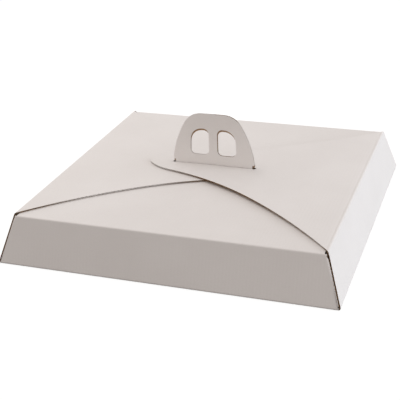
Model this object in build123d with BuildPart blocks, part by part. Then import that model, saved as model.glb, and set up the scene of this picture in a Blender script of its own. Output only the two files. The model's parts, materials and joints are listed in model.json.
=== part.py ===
import os
from math import atan, atan2, cos, pi, sin, tan

from build123d import *

# Board
board = 1.5
crease_radius = 2.0
handle_crease_radius = 0.8
layer_gap = 0.3

# Box
base_width = 361.5
front_height = 50.0
wall_inset = 15.9
flap_bow = 3.2
floor_lap = 10.0

# Corner tabs of the front and back walls, glued inside the left and right walls
corner_gap = 0.15
tab_width = 22.0
tab_low = 3.5
tab_headroom = 4.7
tab_taper = 6.0

# Corners of the front and back flaps
corner_run = 15.0
corner_draw = 1.0

# Tongues of the left and right flaps
tongue_flank = (110.0, 111.0)
tongue_shoulder = (60.0, 73.2)
tongue_waist = (-45.0, 24.3)
tongue_tip = -78.5
tip_radius = 10.0

# Slot in each tongue
slot_end_gap = 0.8
slot_side_gap = 0.5
slot_corner = 0.6

# Handle, with heights measured up from the top of the outer flap
neck_half = 45.0
neck_start = 12.0
neck_radius = 6.0
handle_half = 47.6
handle_shoulder = 3.0
handle_side = (42.1, 27.9)
crown_corner = (25.4, 59.0)
crown_height = 59.6
crown_radius = 22.0
shoulder_radius = 1.2
rear_drop = 2.5

# Finger holes in the handle
hole_inner = 4.9
hole_outer = 27.1
hole_taper = 1.5
hole_bottom = 11.4
hole_top = 42.2
hole_low_radius = 6.0
hole_inner_radius = 6.5
hole_outer_radius = 13.8

# Hinge crease of the outer flap
hinge_gap = 0.1

# Level of the left and right folds, just above the front and back flaps
side_height = front_height + board + layer_gap

half_base = base_width / 2
lean = atan2(wall_inset, front_height)
bend_setback = crease_radius / tan((pi / 2 - lean) / 2)
floor_half = half_base - bend_setback - layer_gap
floor_start = half_base - bend_setback - floor_lap
plate_face = board + layer_gap / 2
slot_length = 2 * (handle_half + slot_end_gap)
slot_width = 2 * (plate_face + slot_side_gap)
cut_depth = 2 * crease_radius
tab_top = front_height - tab_headroom

# Distances from the outside of the left and right walls to a tab and to a front or back flap
board_across = board / cos(lean)
tab_inset = board_across + corner_gap
flap_inset = tab_inset + crease_radius


def fold_at(height):
    return half_base - height * tan(lean)


def round_corner(line, point, radius):
    fillet(line.vertices().sort_by_distance(point)[0], radius)


# The outer flap bows up over the tip of the tongue beneath it
tip_share = 1 - (tongue_tip / fold_at(side_height)) ** 2
outer_bow = flap_bow + (board + layer_gap) / tip_share
top_surface = side_height + outer_bow


# Cut lines of a wall and of the strip of floor that it stands on
def wall_cut(height, inset):
    bottom_half = half_base - inset
    top_half = fold_at(height) - inset
    wall_plane = Plane(
        origin=(half_base, 0, 0), x_dir=(0, 1, 0), z_dir=(cos(lean), 0, sin(lean))
    )
    slant = height / cos(lean)
    with BuildPart() as cut:
        with BuildSketch(wall_plane):
            with BuildLine():
                Polyline(
                    (-bottom_half, 0),
                    (bottom_half, 0),
                    (top_half, slant),
                    (-top_half, slant),
                    close=True,
                )
            make_face()
        extrude(amount=2 * board, both=True)
        with Locations((half_base, 0, 0)):
            Box(2 * (half_base - floor_start), 2 * floor_half, 2 * crease_radius)
    return cut.part


# Cut lines of a left or right flap, seen from above
def tongue_cut():
    root_half = fold_at(side_height) - crease_radius
    with BuildPart() as cut:
        with BuildSketch(Plane.XY.offset(side_height - cut_depth)) as plan:
            with BuildLine():
                fold = Line((half_base, 0), (half_base, -root_half))
                root = Line(fold @ 1, (fold_at(side_height), -root_half))
                flank = (tongue_flank[0], -tongue_flank[1])
                shoulder = (tongue_shoulder[0], -tongue_shoulder[1])
                waist = (tongue_waist[0], -tongue_waist[1])
                edge = ThreePointArc(root @ 1, flank, shoulder)
                curve = TangentArc(edge @ 1, waist, tangent=edge % 1)
                TangentArc(curve @ 1, (tongue_tip, 0), tangent=curve % 1)
                mirror(about=Plane.XZ)
            make_face()
            fillet(plan.vertices().sort_by(Axis.X)[0], tip_radius)
            RectangleRounded(slot_length, slot_width, slot_corner, mode=Mode.SUBTRACT)
        extrude(amount=2 * cut_depth + outer_bow)
    return cut.part


# Cut lines of a front or back flap, seen from above
def handle_flap_cut():
    root_half = fold_at(front_height) - flap_inset
    corner = (fold_at(front_height) - corner_run, corner_draw - root_half)
    with BuildPart() as cut:
        with BuildSketch(Plane.XY.offset(front_height - cut_depth)) as plan:
            with BuildLine():
                fold = Line((half_base, 0), (half_base, -root_half))
                root = Line(fold @ 1, (fold_at(front_height), -root_half))
                flank = Line(root @ 1, corner)
                edge = Line(flank @ 1, (neck_start, -neck_half))
                neck = Line(edge @ 1, (0, -neck_half))
                Line(neck @ 1, (0, 0))
                mirror(about=Plane.XZ)
            make_face()
            fillet(plan.vertices().group_by(Axis.X)[1], neck_radius)
        extrude(amount=cut_depth + flap_bow + handle_crease_radius)
    return cut.part


# Room inside a front or back wall and its two tabs, with the corners rounded
def tab_room(depth, radius):
    face = half_base - depth
    side = half_base - tab_inset - depth
    middle = front_height / 2
    with BuildPart() as room:
        with BuildSketch(Plane.XZ):
            with BuildLine():
                Polyline(
                    (0, 0),
                    (face, 0),
                    (face - wall_inset, front_height),
                    (0, front_height),
                    close=True,
                )
            make_face()
        extrude(amount=half_base, both=True)
        with BuildSketch(Plane.YZ):
            with BuildLine():
                Polyline(
                    (-side, 0),
                    (side, 0),
                    (side - wall_inset, front_height),
                    (wall_inset - side, front_height),
                    close=True,
                )
            make_face()
        extrude(amount=half_base, mode=Mode.INTERSECT)
        for end in (-1, 1):
            corner = (face - wall_inset / 2, end * (side - wall_inset / 2), middle)
            fillet(room.edges().sort_by_distance(corner)[0], radius)
    return room.part


# Front or back wall bent back at both ends into a tab
def tabs():
    with BuildPart() as bent:
        add(tab_room(0, crease_radius))
        add(tab_room(board_across, crease_radius - board), mode=Mode.SUBTRACT)
        with BuildSketch(Plane.XZ):
            with BuildLine():
                Polyline(
                    (half_base, tab_low),
                    (fold_at(tab_low) - board_across, tab_low),
                    (fold_at(tab_low) - tab_width, tab_low + tab_taper),
                    (fold_at(tab_top) - tab_width, tab_top - tab_taper),
                    (fold_at(tab_top) - board_across, tab_top),
                    (half_base, tab_top),
                    close=True,
                )
            make_face()
        extrude(amount=half_base, both=True, mode=Mode.INTERSECT)
    return bent.part


# Cut lines of one half of the handle, seen from the front
def handle_cut(drop):
    foot = top_surface - drop
    crown = (crown_corner[0], foot + crown_corner[1])
    shoulder = (handle_half, foot + handle_shoulder)
    with BuildPart() as cut:
        with BuildSketch(Plane.YZ):
            with BuildLine() as half_line:
                neck = Line((neck_half, front_height), (neck_half, shoulder[1]))
                ledge = Line(neck @ 1, shoulder)
                ThreePointArc(ledge @ 1, (handle_side[0], foot + handle_side[1]), crown)
                TangentArc((0, foot + crown_height), crown, tangent=(1, 0))
                Line((0, front_height), neck @ 0)
                round_corner(half_line, crown, crown_radius)
                round_corner(half_line, shoulder, shoulder_radius)
                mirror(about=Plane.YZ)
            make_face()
        extrude(amount=2 * plate_face)
        with BuildSketch(Plane.YZ) as hole:
            with BuildLine():
                Polyline(
                    (hole_inner, foot + hole_bottom),
                    (hole_outer, foot + hole_bottom),
                    (hole_outer - hole_taper, foot + hole_top),
                    (hole_inner, foot + hole_top),
                    close=True,
                )
            make_face()
            round_corner(hole, (hole_inner, foot + hole_bottom), hole_low_radius)
            round_corner(hole, (hole_outer, foot + hole_bottom), hole_low_radius)
            round_corner(hole, (hole_outer - hole_taper, foot + hole_top), hole_outer_radius)
            round_corner(hole, (hole_inner, foot + hole_top), hole_inner_radius)
            mirror(about=Plane.YZ)
        extrude(amount=2 * plate_face, mode=Mode.SUBTRACT)
    return cut.part


# Sheet folded from the floor over a wall to a flap with a tongue
def tongue_sheet(bow, creased):
    fold = fold_at(side_height)
    with BuildPart() as sheet:
        with BuildSketch(Plane.XZ):
            with BuildLine() as line:
                floor = Line((floor_start, 0), (half_base, 0))
                wall = Line(floor @ 1, (fold, side_height))
                ThreePointArc(wall @ 1, (0, side_height + bow), (-fold, side_height))
                round_corner(line, floor @ 1, crease_radius)
                if creased:
                    round_corner(line, wall @ 1, crease_radius)
                offset(amount=board, side=Side.LEFT)
            make_face()
        extrude(amount=half_base, both=True)
    return sheet.part


# Sheet folded from the floor over a wall and a flap up to the handle
def handle_sheet():
    fold = fold_at(front_height)
    with BuildPart() as sheet:
        with BuildSketch(Plane.XZ):
            with BuildLine() as line:
                floor = Line((floor_start, 0), (half_base, 0))
                wall = Line(floor @ 1, (fold, front_height))
                flap = ThreePointArc(
                    wall @ 1,
                    (fold / 2, front_height + 3 * flap_bow / 4),
                    (plate_face, front_height + flap_bow),
                )
                Line(flap @ 1, (plate_face, top_surface + crown_height + board))
                round_corner(line, floor @ 1, crease_radius)
                round_corner(line, wall @ 1, crease_radius)
                round_corner(line, flap @ 1, handle_crease_radius)
                offset(amount=board, side=Side.LEFT)
            make_face()
        extrude(amount=half_base, both=True)
    return sheet.part


# Plane through the outer crease of the right wall, halfway between wall and flap
def hinge_plane():
    rise = 2 * atan(outer_bow / fold_at(side_height))
    return Plane(
        origin=(fold_at(side_height), 0, side_height),
        x_dir=(0, 1, 0),
        z_dir=(sin(lean) + cos(rise), 0, -cos(lean) - sin(rise)),
    )


with BuildPart() as front_side:
    add(wall_cut(front_height, tab_inset))
    add(tab_room(0, crease_radius), mode=Mode.INTERSECT)
    add(handle_flap_cut())
    add(handle_cut(0))
    add(handle_sheet(), mode=Mode.INTERSECT)
    add(tabs())

with BuildPart() as back_side:
    add(wall_cut(front_height, tab_inset))
    add(tab_room(0, crease_radius), mode=Mode.INTERSECT)
    add(handle_flap_cut())
    add(handle_cut(rear_drop))
    add(handle_sheet(), mode=Mode.INTERSECT)
    add(tabs())

with BuildPart() as left_side:
    add(wall_cut(side_height, crease_radius))
    add(tongue_cut())
    add(tongue_sheet(flap_bow, True), mode=Mode.INTERSECT)

with BuildPart() as right_side:
    add(wall_cut(side_height, crease_radius))
    add(tongue_sheet(outer_bow, False), mode=Mode.INTERSECT)
    split(bisect_by=hinge_plane().offset(hinge_gap / 2), keep=Keep.TOP)

with BuildPart() as box_body:
    with Locations((0, 0, board / 2)):
        Box(2 * floor_half, 2 * floor_half, board)
    add(front_side.part, rotation=(0, 0, -90))
    add(back_side.part, rotation=(0, 0, 90))
    add(left_side.part, rotation=(0, 0, 180))
    add(right_side.part)

with BuildPart() as outer_flap:
    add(tongue_cut())
    add(tongue_sheet(outer_bow, False), mode=Mode.INTERSECT)
    split(bisect_by=hinge_plane().offset(-hinge_gap / 2), keep=Keep.BOTTOM)

os.makedirs("parts", exist_ok=True)
box_body.part.label = "box_body"
export_step(box_body.part, "parts/box_body.step")
outer_flap.part.label = "outer_flap"
export_step(outer_flap.part, "parts/outer_flap.step")
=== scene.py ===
import json
import math

import bmesh
import bpy
from mathutils import Matrix, Vector


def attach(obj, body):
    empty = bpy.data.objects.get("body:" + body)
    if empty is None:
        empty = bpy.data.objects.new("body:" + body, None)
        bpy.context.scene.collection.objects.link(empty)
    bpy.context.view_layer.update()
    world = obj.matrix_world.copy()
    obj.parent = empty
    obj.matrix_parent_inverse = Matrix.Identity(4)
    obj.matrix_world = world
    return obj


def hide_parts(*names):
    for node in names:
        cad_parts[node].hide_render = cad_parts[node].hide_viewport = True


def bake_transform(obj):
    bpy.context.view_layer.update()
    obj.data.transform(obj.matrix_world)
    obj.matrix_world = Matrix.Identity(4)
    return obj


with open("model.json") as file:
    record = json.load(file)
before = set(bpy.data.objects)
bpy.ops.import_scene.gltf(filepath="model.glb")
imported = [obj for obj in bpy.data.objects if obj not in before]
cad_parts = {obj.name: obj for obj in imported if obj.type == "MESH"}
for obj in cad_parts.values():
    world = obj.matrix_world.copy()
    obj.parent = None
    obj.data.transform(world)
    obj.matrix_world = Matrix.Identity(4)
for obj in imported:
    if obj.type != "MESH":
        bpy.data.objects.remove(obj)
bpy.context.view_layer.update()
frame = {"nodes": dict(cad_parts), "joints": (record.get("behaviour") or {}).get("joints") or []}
scene = bpy.context.scene
scene.view_settings.view_transform = "Standard"

alongX = Vector((1, 0, 0))
alongY = Vector((0, 1, 0))
alongZ = Vector((0, 0, 1))

# the outer flap turns about this line, along Y
hinge = Vector(frame["joints"][0]["pos_m"])


def newMaterial(name):
    mat = bpy.data.materials.new(name)
    mat.use_nodes = True
    nodes = mat.node_tree.nodes
    return mat, nodes, mat.node_tree.links, nodes["Principled BSDF"]


def addNoise(nodes, links, coords, want):
    mapping = nodes.new("ShaderNodeMapping")
    mapping.inputs["Scale"].default_value = want["stretch"]
    links.new(coords, mapping.inputs["Vector"])
    noise = nodes.new("ShaderNodeTexNoise")
    noise.inputs["Scale"].default_value = want["scale"]
    noise.inputs["Detail"].default_value = want["detail"]
    noise.inputs["Roughness"].default_value = want["roughness"]
    links.new(mapping.outputs["Vector"], noise.inputs["Vector"])
    return noise.outputs["Fac"]


def addRamp(nodes, links, factor, stops):
    ramp = nodes.new("ShaderNodeValToRGB")
    ramp.color_ramp.elements[0].position = stops[0][0]
    ramp.color_ramp.elements[0].color = (*stops[0][1], 1)
    ramp.color_ramp.elements[1].position = stops[-1][0]
    ramp.color_ramp.elements[1].color = (*stops[-1][1], 1)
    for place, colour in stops[1:-1]:
        ramp.color_ramp.elements.new(place).color = (*colour, 1)
    links.new(factor, ramp.inputs["Fac"])
    return ramp.outputs["Color"]


def addRange(nodes, links, value, source, target=(0, 1)):
    spread = nodes.new("ShaderNodeMapRange")
    spread.inputs["From Min"].default_value = source[0]
    spread.inputs["From Max"].default_value = source[1]
    spread.inputs["To Min"].default_value = target[0]
    spread.inputs["To Max"].default_value = target[1]
    links.new(value, spread.inputs["Value"])
    return spread.outputs["Result"]


# a colour mix, where the factor and the second colour are linked or fixed
def addMix(nodes, links, kind, factor, first, second):
    mix = nodes.new("ShaderNodeMix")
    mix.data_type = "RGBA"
    mix.blend_type = kind
    if isinstance(factor, bpy.types.NodeSocket):
        links.new(factor, mix.inputs["Factor"])
    else:
        mix.inputs["Factor"].default_value = factor
    links.new(first, mix.inputs["A"])
    if isinstance(second, bpy.types.NodeSocket):
        links.new(second, mix.inputs["B"])
    else:
        mix.inputs["B"].default_value = (*second, 1)
    return mix.outputs["Result"]


def addBump(nodes, links, height, want, under=None):
    bump = nodes.new("ShaderNodeBump")
    bump.inputs["Distance"].default_value = want["distance"]
    bump.inputs["Strength"].default_value = want["strength"]
    links.new(height, bump.inputs["Height"])
    if under:
        links.new(under, bump.inputs["Normal"])
    return bump.outputs["Normal"]


# three plies: white liner outside, brown liner inside, waved paper between them
boardBuild = {
    "thickness": 0.0015,
    "liner": 0.00026,
    "waved": 0.00018,
    "airGap": 0.00001,
    "pitch": 0.0035,
    "stepsPerFlute": 6,
}

# a wave texture of scale 1 turns through this many radians in a metre
waveTurns = 20


# faint ribs of the flutes under the paper, from the distance stored across them
def addRibs(nodes, links):
    run = nodes.new("ShaderNodeAttribute")
    run.attribute_name = "fluteRun"
    spread = nodes.new("ShaderNodeCombineXYZ")
    links.new(run.outputs["Fac"], spread.inputs["X"])
    ribs = nodes.new("ShaderNodeTexWave")
    ribs.inputs["Scale"].default_value = 2 * math.pi / (waveTurns * boardBuild["pitch"])
    links.new(spread.outputs["Vector"], ribs.inputs["Vector"])
    return ribs.outputs["Fac"]


whitePaper = {
    "clouds": {"scale": 14, "detail": 4, "roughness": 0.5, "stretch": (1, 1, 1)},
    "cloudTones": [(0.35, (0.795, 0.763, 0.742)), (0.65, (0.822, 0.792, 0.772))],
    "flecks": {"scale": 1500, "detail": 3, "roughness": 0.6, "stretch": (1, 0.45, 1)},
    "fleckTones": [(0.30, (0.955, 0.95, 0.945)), (0.46, (1, 1, 1))],
    "roughness": (0.50, 0.62),
    "specular": 0.3,
    "ribs": {"distance": 0.00004, "strength": 0.6},
    "grain": {"distance": 0.00002, "strength": 0.35},
}


def makeWhitePaper():
    mat, nodes, links, shader = newMaterial("coatedWhitePaper")
    coords = nodes.new("ShaderNodeTexCoord").outputs["Object"]
    clouds = addNoise(nodes, links, coords, whitePaper["clouds"])
    flecks = addNoise(nodes, links, coords, whitePaper["flecks"])
    tone = addRamp(nodes, links, clouds, whitePaper["cloudTones"])
    fleckTone = addRamp(nodes, links, flecks, whitePaper["fleckTones"])
    links.new(addMix(nodes, links, "MULTIPLY", 1, tone, fleckTone), shader.inputs["Base Color"])
    roughness = addRange(nodes, links, clouds, (0, 1), whitePaper["roughness"])
    links.new(roughness, shader.inputs["Roughness"])
    shader.inputs["Specular IOR Level"].default_value = whitePaper["specular"]
    ribs = addBump(nodes, links, addRibs(nodes, links), whitePaper["ribs"])
    links.new(addBump(nodes, links, flecks, whitePaper["grain"], ribs), shader.inputs["Normal"])
    return mat


kraftPaper = {
    "pulp": {"scale": 420, "detail": 6, "roughness": 0.62, "stretch": (1, 0.3, 1)},
    "pulpTones": [(0.30, (0.335, 0.205, 0.112)), (0.70, (0.455, 0.295, 0.170))],
    "fibres": {"scale": 1900, "detail": 2, "roughness": 0.5, "stretch": (1, 0.12, 1)},
    "fibreTones": [(0.29, (0.66, 0.60, 0.54)), (0.40, (1, 1, 1))],
    "roughness": 0.82,
    "specular": 0.2,
    "ribs": {"distance": 0.00006, "strength": 0.7},
    "grain": {"distance": 0.00004, "strength": 0.4},
    "linerShade": 1.0,
    # the cut edges take a lightened copy of the kraft: painted light on the rims
    "cutPaintedLight": 1.35,
    # the hollows inside the board take a darkened copy of the kraft: painted shade
    "hollowPaintedShade": 0.2,
}

# share of pale white mixed over the cut edges and hollows, along X in metres: partly a pale, crushed
# cut edge and partly painted light, with low shares left dark as painted shade at the corner seams and
# the middle
paleEdgesAndPaintedLight = {
    "white": (0.80, 0.77, 0.745),
    "reach": (-0.18, 0.18),
    "flaps": [(-0.163, 0.0), (-0.150, 0.15), (-0.110, 0.93), (-0.045, 0.97),
              (0.0, 0.02), (0.06, 0.08), (0.155, 0.72), (0.163, 0.0)],
    "handle": [(0.0, 0.85), (0.004, 0.1), (0.027, 0.1), (0.031, 0.85)],
    "handleFoot": (0.058, 0.062),
}


# mask of pale white by X and height: partly a crushed cut edge, partly painted light
def addPaleEdgesAndPaintedLight(nodes, links, coords):
    axes = nodes.new("ShaderNodeSeparateXYZ")
    links.new(coords, axes.inputs["Vector"])
    start, end = paleEdgesAndPaintedLight["reach"]
    along = addRange(nodes, links, axes.outputs["X"], paleEdgesAndPaintedLight["reach"])
    shares = []
    for part in ("flaps", "handle"):
        stops = [((x - start) / (end - start), (share, share, share)) for x, share in paleEdgesAndPaintedLight[part]]
        shares.append(addRamp(nodes, links, along, stops))
    upper = addRange(nodes, links, axes.outputs["Z"], paleEdgesAndPaintedLight["handleFoot"])
    return addMix(nodes, links, "MIX", upper, *shares)


def makeKraftPaper(name, shade, cut=False):
    mat, nodes, links, shader = newMaterial(name)
    coords = nodes.new("ShaderNodeTexCoord").outputs["Object"]
    pulp = addNoise(nodes, links, coords, kraftPaper["pulp"])
    fibres = addNoise(nodes, links, coords, kraftPaper["fibres"])
    shaded = [(place, tuple(c * shade for c in colour)) for place, colour in kraftPaper["pulpTones"]]
    tone = addRamp(nodes, links, pulp, shaded)
    fibreTone = addRamp(nodes, links, fibres, kraftPaper["fibreTones"])
    colour = addMix(nodes, links, "MULTIPLY", 1, tone, fibreTone)
    if cut:
        # pale white over the cut edges and hollows: partly a crushed edge, partly painted light
        paleShareAndPaintedLight = addPaleEdgesAndPaintedLight(nodes, links, coords)
        colour = addMix(nodes, links, "MIX", paleShareAndPaintedLight, colour, paleEdgesAndPaintedLight["white"])
    links.new(colour, shader.inputs["Base Color"])
    shader.inputs["Roughness"].default_value = kraftPaper["roughness"]
    shader.inputs["Specular IOR Level"].default_value = kraftPaper["specular"]
    ribs = addBump(nodes, links, addRibs(nodes, links), kraftPaper["ribs"])
    links.new(addBump(nodes, links, pulp, kraftPaper["grain"], ribs), shader.inputs["Normal"])
    return mat


whiteMat = makeWhitePaper()
kraftMat = makeKraftPaper("kraftLinerPaper", kraftPaper["linerShade"])
# cut edges and rims: kraft lightened to 1.35, painted light
paintedLightEdgeMat = makeKraftPaper("cutKraftPaintedLight", kraftPaper["cutPaintedLight"], True)
# the board's hidden sides and the waved ply: kraft darkened to 0.2, painted shade in the flute hollows
hollowPaintedShadeMat = makeKraftPaper("hollowKraftPaintedShade", kraftPaper["hollowPaintedShade"], True)
print("materials made")

# how the panels of a sheet are told apart: angles, lengths in metres and parts of a unit normal
sheetLimits = {
    "weld": 1e-6,
    "sliver": 2e-5,
    "onPlane": 1e-7,
    "sharpest": math.radians(45),
    "flattest": math.radians(0.05),
    "narrowestPanel": 0.001,
    "floorHeight": 0.01,
    "sameWay": 0.99,
    "steep": 0.5,
    "level": 0.08,
    "bowed": 0.12,
    "upright": 0.9,
    "panelWeight": 80,
}


# the board is taken from the CAD sheets
def openSheet(nodeName):
    bm = bmesh.new()
    bm.from_mesh(frame["nodes"][nodeName].data)
    bmesh.ops.remove_doubles(bm, verts=bm.verts, dist=sheetLimits["weld"])
    bm.normal_update()
    return bm


# one side of the sheet: everything that joins the seed without a sharp edge
def peelSkin(bm, seed):
    found = {seed}
    waiting = [seed]
    while waiting:
        face = waiting.pop()
        for edge in face.edges:
            if len(edge.link_faces) != 2 or edge.calc_face_angle() > sheetLimits["sharpest"]:
                continue
            for other in edge.link_faces:
                if other not in found:
                    found.add(other)
                    waiting.append(other)
    keep = {face.index for face in found}
    skin = bm.copy()
    bmesh.ops.delete(skin, geom=[f for f in skin.faces if f.index not in keep], context="FACES")
    bmesh.ops.dissolve_degenerate(skin, dist=sheetLimits["sliver"], edges=skin.edges)
    bmesh.ops.dissolve_limit(skin, angle_limit=sheetLimits["flattest"], verts=skin.verts,
                             edges=skin.edges, use_dissolve_boundaries=False)
    skin.normal_update()
    return skin


def faceMiddle(face):
    return face.calc_center_median()


def meanWidth(face):
    return face.calc_area() / max(e.calc_length() for e in face.edges)


def facing(bm, direction):
    return [f for f in bm.faces if f.normal.dot(direction) > sheetLimits["sameWay"]]


def allOf(faces):
    return list({*faces, *(e for f in faces for e in f.edges), *(v for f in faces for v in f.verts)})


# distance across the flutes, which run front to back in the flat blank
def runAcross(co, normal):
    if abs(normal.x) < sheetLimits["steep"]:
        return co.x
    return math.copysign(hinge.x + (hinge.z - co.z) / abs(normal.x), co.x)


def storeRun(bm):
    layer = bm.verts.layers.float.new("fluteRun")
    for v in bm.verts:
        flattest = max(v.link_faces, key=lambda f: f.calc_area())
        v[layer] = runAcross(v.co, flattest.normal)


# a ply with its materials in the order face, hidden side, cut edge
def linkPiece(bm, name, materials, thickness, side):
    mesh = bpy.data.meshes.new(name)
    bm.to_mesh(mesh)
    bm.free()
    for mat in materials:
        mesh.materials.append(mat)
    mesh.shade_smooth()
    piece = bpy.data.objects.new(name, mesh)
    scene.collection.objects.link(piece)
    ply = piece.modifiers.new("ply", "SOLIDIFY")
    ply.thickness = thickness
    ply.offset = side
    ply.material_offset = 1
    ply.material_offset_rim = 2
    return piece


def softenNormals(piece):
    piece.data.set_sharp_from_angle(angle=sheetLimits["sharpest"])
    shade = piece.modifiers.new("flatPanels", "WEIGHTED_NORMAL")
    shade.keep_sharp = True
    shade.weight = sheetLimits["panelWeight"]


def makeLiner(skin, name, faceMat):
    storeRun(skin)
    piece = linkPiece(skin, name, [faceMat, hollowPaintedShadeMat, paintedLightEdgeMat], boardBuild["liner"], -1)
    softenNormals(piece)
    return piece


# cuts faces along evenly spaced lines, sweeping so that only what lies ahead is cut again
def cutAcross(bm, faces, axis, first, step):
    reach = max(v.co.dot(axis) for f in faces for v in f.verts)
    line = first
    ahead = faces
    while line < reach and ahead:
        cut = bmesh.ops.bisect_plane(bm, geom=allOf(ahead), dist=sheetLimits["onPlane"],
                                     plane_co=axis * line, plane_no=axis)
        ahead = [f for f in cut["geom"]
                 if isinstance(f, bmesh.types.BMFace) and faceMiddle(f).dot(axis) > line]
        line += step


# the flutes are crushed flat in the bends between level panels and walls
def isCrushed(normal):
    leansAcross = sheetLimits["level"] < abs(normal.x) < sheetLimits["upright"]
    leansAlong = sheetLimits["bowed"] < abs(normal.y) < sheetLimits["upright"]
    return leansAcross or leansAlong


def cutFlutes(skin):
    step = boardBuild["pitch"] / boardBuild["stepsPerFlute"]
    panels = [f for f in skin.faces if meanWidth(f) > sheetLimits["narrowestPanel"]]
    level = [f for f in panels if abs(f.normal.x) < sheetLimits["level"]]
    level = bmesh.ops.triangulate(skin, faces=level)["faces"]
    low = min(v.co.x for f in level for v in f.verts)
    cutAcross(skin, level, alongX, math.ceil(low / step) * step, step)
    for sign in (-1, 1):
        wall = [f for f in panels if f.is_valid and f.normal.x * sign > sheetLimits["upright"]]
        if not wall:
            continue
        rise = step * abs(wall[0].normal.x)
        top = hinge.z + hinge.x / step * rise
        low = min(v.co.z for f in wall for v in f.verts)
        cutAcross(skin, wall, alongZ, top - math.floor((top - low) / rise) * rise, rise)
    skin.normal_update()


# the waved ply starts as the inner side, sunk to the middle of the board
def makeWaves(skin, name):
    middle = boardBuild["thickness"] / 2
    for v in skin.verts:
        v.co -= v.normal * middle
    skin.normal_update()
    cutFlutes(skin)
    room = middle - boardBuild["liner"] - boardBuild["waved"] / 2 - boardBuild["airGap"]
    moves = []
    for v in skin.verts:
        swing = 0 if isCrushed(v.normal) else room
        turn = 2 * math.pi * runAcross(v.co, v.normal) / boardBuild["pitch"]
        moves.append(v.normal * swing * math.cos(turn))
    for v, move in zip(skin.verts, moves):
        v.co += move
    storeRun(skin)
    piece = linkPiece(skin, name, [hollowPaintedShadeMat, hollowPaintedShadeMat, paintedLightEdgeMat], boardBuild["waved"], 0)
    return piece


# the hinge crease is its own strip, so the sheets end this far from the fold
hingeCrease = {
    "reach": 0.003,
    "outerRadius": 0.002,
    "innerRadius": 0.0005,
    "cornerShare": 0.7,
    "bendShare": 0.8,
    "segments": 10,
}


# trims a sheet back from the fold and tells how wide it is there
def trimBack(bm, faces, away):
    cut = bmesh.ops.bisect_plane(bm, geom=allOf(faces), dist=sheetLimits["onPlane"], clear_outer=True,
                                 plane_co=hinge + away * hingeCrease["reach"], plane_no=-away)
    ends = [v for v in cut["geom_cut"] if isinstance(v, bmesh.types.BMVert)]
    return max(abs(v.co.y) for v in ends)


def area(face):
    return face.calc_area()


bodySheet = openSheet("box_body")
flapSheet = openSheet("outer_flap")
lowest = min(bodySheet.faces, key=lambda f: (faceMiddle(f).z, -f.calc_area()))
floorTop = [f for f in facing(bodySheet, alongZ) if faceMiddle(f).z < sheetLimits["floorHeight"]]
bodyOuter = peelSkin(bodySheet, lowest)
bodyInner = peelSkin(bodySheet, max(floorTop, key=area))
flapOuter = peelSkin(flapSheet, max(flapSheet.faces, key=lambda f: f.normal.z * f.calc_area()))
flapInner = peelSkin(flapSheet, max(flapSheet.faces, key=lambda f: -f.normal.z * f.calc_area()))
print("sheets peeled:", len(bodyOuter.faces), len(bodyInner.faces),
      len(flapOuter.faces), len(flapInner.faces))

# directions of the right wall and of the flap where they leave the fold
rightFaces = [f for f in bodyOuter.faces if f.normal.x > sheetLimits["steep"]]
wallOut = max(rightFaces, key=area).normal.copy()
flapOut = max(flapOuter.faces, key=lambda f: faceMiddle(f).x).normal.copy()
downWall = wallOut.cross(alongY).normalized()
if downWall.z > 0:
    downWall.negate()
alongFlap = flapOut.cross(alongY).normalized()
if alongFlap.x > 0:
    alongFlap.negate()

wallWide = trimBack(bodyOuter, facing(bodyOuter, wallOut), downWall)
trimBack(bodyInner, facing(bodyInner, -wallOut), downWall)
flapWide = trimBack(flapOuter, list(flapOuter.faces), alongFlap)
trimBack(flapInner, list(flapInner.faces), alongFlap)

bodyWaves = makeWaves(bodyInner.copy(), "bodyWavedPly")
flapWaves = makeWaves(flapInner.copy(), "flapWavedPly")
bodyWhite = makeLiner(bodyOuter, "bodyWhiteLiner", whiteMat)
bodyKraft = makeLiner(bodyInner, "bodyKraftLiner", kraftMat)
flapWhite = makeLiner(flapOuter, "flapWhiteLiner", whiteMat)
flapKraft = makeLiner(flapInner, "flapKraftLiner", kraftMat)
for piece in (bodyWhite, bodyKraft, bodyWaves):
    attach(piece, "box")
for piece in (flapWhite, flapKraft, flapWaves):
    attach(piece, "outer_flap")
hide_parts("box_body")
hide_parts("outer_flap")
print("board made:", {p.name: len(p.data.polygons) for p in
                      (bodyWhite, bodyKraft, bodyWaves, flapWhite, flapKraft, flapWaves)})


# one ply of the bend between the right wall and the outer flap
def creaseStrip(name, depth, radius, thickness, side, materials, flip):
    half = wallOut.angle(flapOut) / 2
    inward = -(wallOut + flapOut).normalized()
    corner = hinge + inward * depth / math.cos(half)
    wallEnd = hinge + downWall * hingeCrease["reach"] - wallOut * depth
    flapEnd = hinge + alongFlap * hingeCrease["reach"] - flapOut * depth
    cornerWide = flapWide + (wallWide - flapWide) * hingeCrease["cornerShare"]
    bm = bmesh.new()
    rows = []
    for point, wide in ((wallEnd, wallWide), (corner, cornerWide), (flapEnd, flapWide)):
        rows.append([bm.verts.new((point.x, y, point.z)) for y in (-wide, wide)])
    for low, high in zip(rows, rows[1:]):
        bm.faces.new((low[0], low[1], high[1], high[0]))
    bm.normal_update()
    if sum(f.normal.dot(wallOut) for f in bm.faces) * flip < 0:
        bmesh.ops.reverse_faces(bm, faces=bm.faces)
    fold = [e for e in bm.edges if len(e.link_faces) == 2]
    bmesh.ops.bevel(bm, geom=fold, offset=radius * math.tan(half), offset_type="OFFSET",
                    affect="EDGES", segments=hingeCrease["segments"], profile=0.5, material=-1)
    bm.normal_update()
    storeRun(bm)
    piece = linkPiece(bm, name, materials, thickness, side)
    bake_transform(piece)
    return piece


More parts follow.
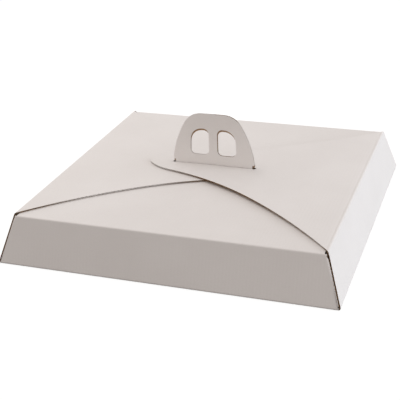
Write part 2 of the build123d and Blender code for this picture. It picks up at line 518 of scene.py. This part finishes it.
outerStrip = creaseStrip("creaseWhiteLiner", 0, hingeCrease["outerRadius"],
                         boardBuild["liner"], -1, [whiteMat, hollowPaintedShadeMat, paintedLightEdgeMat], 1)
innerStrip = creaseStrip("creaseKraftLiner", boardBuild["thickness"], hingeCrease["innerRadius"],
                         boardBuild["liner"], -1, [kraftMat, hollowPaintedShadeMat, paintedLightEdgeMat], -1)
middleRadius = (hingeCrease["outerRadius"] + hingeCrease["innerRadius"]) / 2
creaseStrip("creaseCrushedPly", boardBuild["thickness"] / 2, middleRadius,
            boardBuild["waved"], 0, [hollowPaintedShadeMat, hollowPaintedShadeMat, paintedLightEdgeMat], 1)
for piece in (outerStrip, innerStrip):
    softenNormals(piece)
print("hinge crease made")


# white only where the camera looks straight at it or sees it mirrored
def onlySeen(nodes, links):
    path = nodes.new("ShaderNodeLightPath")
    total = path.outputs["Is Camera Ray"]
    for name in ("Is Glossy Ray", "Is Transmission Ray"):
        either = nodes.new("ShaderNodeMath")
        either.operation = "MAXIMUM"
        links.new(total, either.inputs[0])
        links.new(path.outputs[name], either.inputs[1])
        total = either.outputs["Value"]
    return total


studioFloor = {"size": 8.0, "drop": 0.0002, "colour": (0.175, 0.17, 0.165), "lift": 0.9}


def makeFloor():
    bm = bmesh.new()
    bmesh.ops.create_grid(bm, x_segments=1, y_segments=1, size=studioFloor["size"] / 2)
    bmesh.ops.translate(bm, verts=bm.verts, vec=(0, 0, -studioFloor["drop"]))
    mesh = bpy.data.meshes.new("studioFloor")
    bm.to_mesh(mesh)
    bm.free()
    floor = bpy.data.objects.new("studioFloor", mesh)
    scene.collection.objects.link(floor)
    mat, nodes, links, shader = newMaterial("paleFloor")
    shader.inputs["Base Color"].default_value = (*studioFloor["colour"], 1)
    shader.inputs["Roughness"].default_value = 1
    shader.inputs["Specular IOR Level"].default_value = 0
    shader.inputs["Emission Color"].default_value = (1, 1, 1, 1)
    lift = nodes.new("ShaderNodeMath")
    lift.operation = "MULTIPLY"
    lift.inputs[1].default_value = studioFloor["lift"]
    links.new(onlySeen(nodes, links), lift.inputs[0])
    links.new(lift.outputs["Value"], shader.inputs["Emission Strength"])
    mesh.materials.append(mat)


studioLight = {
    "skyColour": (1.0, 0.935, 0.90),
    "skyStrength": 0.632,
    "topPanel": {"from": (-0.75, 0.2, 0.75), "away": 1.05, "size": (1.0, 0.9), "power": 3.35,
                 "colour": (1.0, 0.99, 0.985)},
    "sidePanel": {"from": (1.0, 0.12, 0.14), "away": 2.0, "size": (1.2, 1.0), "power": 28,
                  "colour": (0.834, 0.913, 1.0)},
    "frontPanel": {"from": (0.75, -1.0, 0.25), "away": 1.6, "size": (0.8, 0.6), "power": 1.05,
                   "colour": (1.0, 0.94, 0.90)},
}


def makePanel(name):
    want = studioLight[name]
    lamp = bpy.data.lights.new(name, "AREA")
    lamp.shape = "RECTANGLE"
    lamp.size, lamp.size_y = want["size"]
    lamp.energy = want["power"]
    lamp.color = want["colour"]
    panel = bpy.data.objects.new(name, lamp)
    direction = Vector(want["from"]).normalized()
    panel.location = direction * want["away"]
    panel.rotation_mode = "QUATERNION"
    panel.rotation_quaternion = direction.to_track_quat("Z", "Y")
    scene.collection.objects.link(panel)


def makeLight():
    world = bpy.data.worlds.new("studioSky")
    scene.world = world
    world.use_nodes = True
    nodes = world.node_tree.nodes
    links = world.node_tree.links
    sky = nodes["Background"]
    sky.inputs["Color"].default_value = (*studioLight["skyColour"], 1)
    sky.inputs["Strength"].default_value = studioLight["skyStrength"]
    seen = nodes.new("ShaderNodeBackground")
    seen.inputs["Color"].default_value = (1, 1, 1, 1)
    mix = nodes.new("ShaderNodeMixShader")
    links.new(onlySeen(nodes, links), mix.inputs["Fac"])
    links.new(sky.outputs["Background"], mix.inputs[1])
    links.new(seen.outputs["Background"], mix.inputs[2])
    links.new(mix.outputs["Shader"], nodes["World Output"].inputs["Surface"])
    for name in ("topPanel", "sidePanel", "frontPanel"):
        makePanel(name)


# angles in degrees, lengths in metres, lens and sensor in millimetres
photoCamera = {
    "azimuth": 19.688,
    "elevation": 24.659,
    "roll": -2.173,
    "distance": 1.12485,
    "target": (-0.02653, 0.02248, 0.0),
    "lens": 86.014,
    "sensor": 36,
    "nearest": 0.01,
    "farthest": 50,
}


def makeCamera():
    az, el, roll = (math.radians(photoCamera[k]) for k in ("azimuth", "elevation", "roll"))
    back = Vector((math.sin(az) * math.cos(el), -math.cos(az) * math.cos(el), math.sin(el)))
    right = Vector((math.cos(az), math.sin(az), 0))
    up = back.cross(right)
    tiltedRight = right * math.cos(roll) + up * math.sin(roll)
    tiltedUp = up * math.cos(roll) - right * math.sin(roll)
    data = bpy.data.cameras.new("photoCamera")
    data.lens = photoCamera["lens"]
    data.sensor_width = photoCamera["sensor"]
    data.clip_start = photoCamera["nearest"]
    data.clip_end = photoCamera["farthest"]
    camera = bpy.data.objects.new("photoCamera", data)
    turned = Matrix((tiltedRight, tiltedUp, back)).transposed().to_4x4()
    place = Vector(photoCamera["target"]) + back * photoCamera["distance"]
    camera.matrix_world = Matrix.Translation(place) @ turned
    scene.collection.objects.link(camera)
    scene.camera = camera


makeFloor()
makeLight()
makeCamera()
print("studio made")
